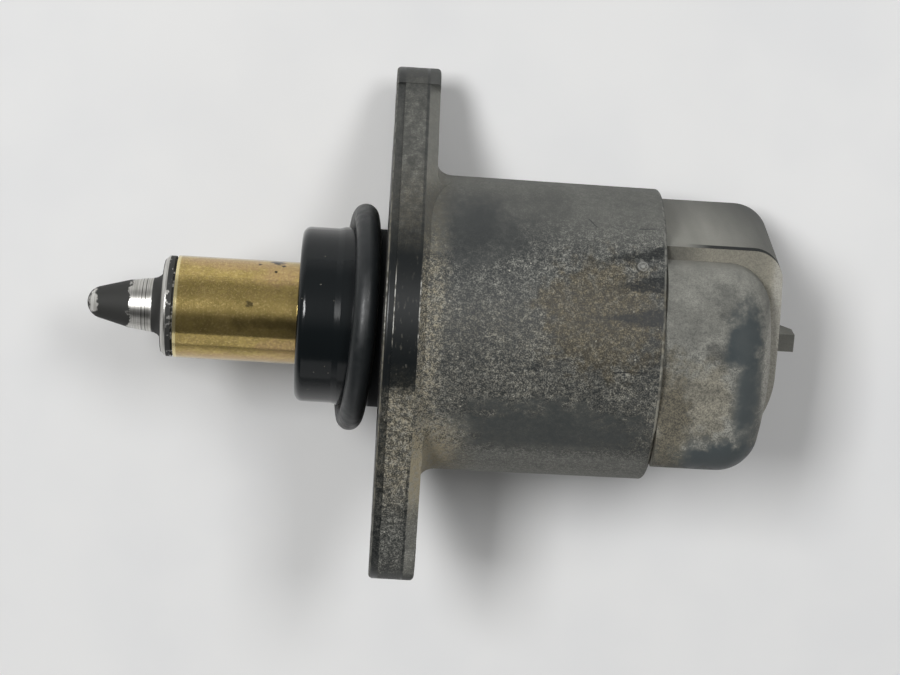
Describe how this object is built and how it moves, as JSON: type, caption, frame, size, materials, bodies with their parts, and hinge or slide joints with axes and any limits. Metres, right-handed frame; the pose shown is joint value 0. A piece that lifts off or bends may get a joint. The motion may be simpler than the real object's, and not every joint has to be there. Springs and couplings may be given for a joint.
{
  "type": "idle air control valve",
  "caption": "Idle air control valve with an oval bolt flange, sealed spigot, sliding brass plunger with a tapered steel pintle, round motor barrel and right-angle blade connector.",
  "frame": {"origin": "on the valve axis at the mounting face of the flange", "axes": "-X out of the mounting face along the plunger towards the pintle, +X towards the connector, +Z the back of the connector, whose mouth opens towards -Z"},
  "size_m": [0.0778, 0.0528, 0.0338],
  "materials": {
    "black_plastic": "matte, dusty",
    "seal_rubber": "satin",
    "turned_brass": "turned, tarnished",
    "pintle_steel": "turned, sooty",
    "plated_steel": "zinc plated",
    "bearing_steel": "ground",
    "natural_plastic": "moulded",
    "ferrite": "ground",
    "sintered_bronze": "porous",
    "copper_winding": "enamelled",
    "tinned_brass": "tin plated"
  },
  "bodies": {
    "valve_body": {"housing": "black_plastic", "rear_cover": "black_plastic", "flange_bushes": "plated_steel", "spigot_seal": "seal_rubber", "cover_seal": "seal_rubber", "bearing_outer_race": "bearing_steel", "rear_bush": "sintered_bronze", "front_stator_cup": "plated_steel", "front_pole_plate": "plated_steel", "front_bobbin": "natural_plastic", "front_coil": "copper_winding", "rear_pole_plate": "plated_steel", "rear_bobbin": "natural_plastic", "rear_coil": "copper_winding", "rear_stator_cup": "plated_steel", "terminal_1": "tinned_brass", "terminal_2": "tinned_brass", "terminal_3": "tinned_brass", "terminal_4": "tinned_brass"},
    "rotor": {"lead_screw": "pintle_steel", "screw_clip": "plated_steel", "rotor_hub": "natural_plastic", "rotor_magnet": "ferrite", "bearing_inner_race": "bearing_steel", "thrust_washer": "natural_plastic"},
    "ball_set": {"bearing_balls": "bearing_steel", "bearing_cage": "natural_plastic"},
    "plunger_unit": {"plunger": "turned_brass", "pintle": "pintle_steel"}
  },
  "joints": [
    {"name": "rotor_spin", "type": "hinge", "parent": "valve_body", "child": "rotor", "pos_m": [0, 0, 0], "axis": [1, 0, 0], "range_deg": [-2160, 900]},
    {"name": "cage_spin", "type": "hinge", "parent": "valve_body", "child": "ball_set", "pos_m": [0, 0, 0], "axis": [1, 0, 0], "range_deg": [-845, 355]},
    {"name": "plunger_slide", "type": "slide", "parent": "valve_body", "child": "plunger_unit", "axis": [-1, 0, 0], "range_m": [-0.00602, 0.00252]}
  ],
  "couplings": [
    {"joint": "cage_spin", "follows": "rotor_spin", "ratio": 0.3889},
    {"joint": "plunger_slide", "follows": "rotor_spin", "m_per_rad": 0.00015915}
  ]
}
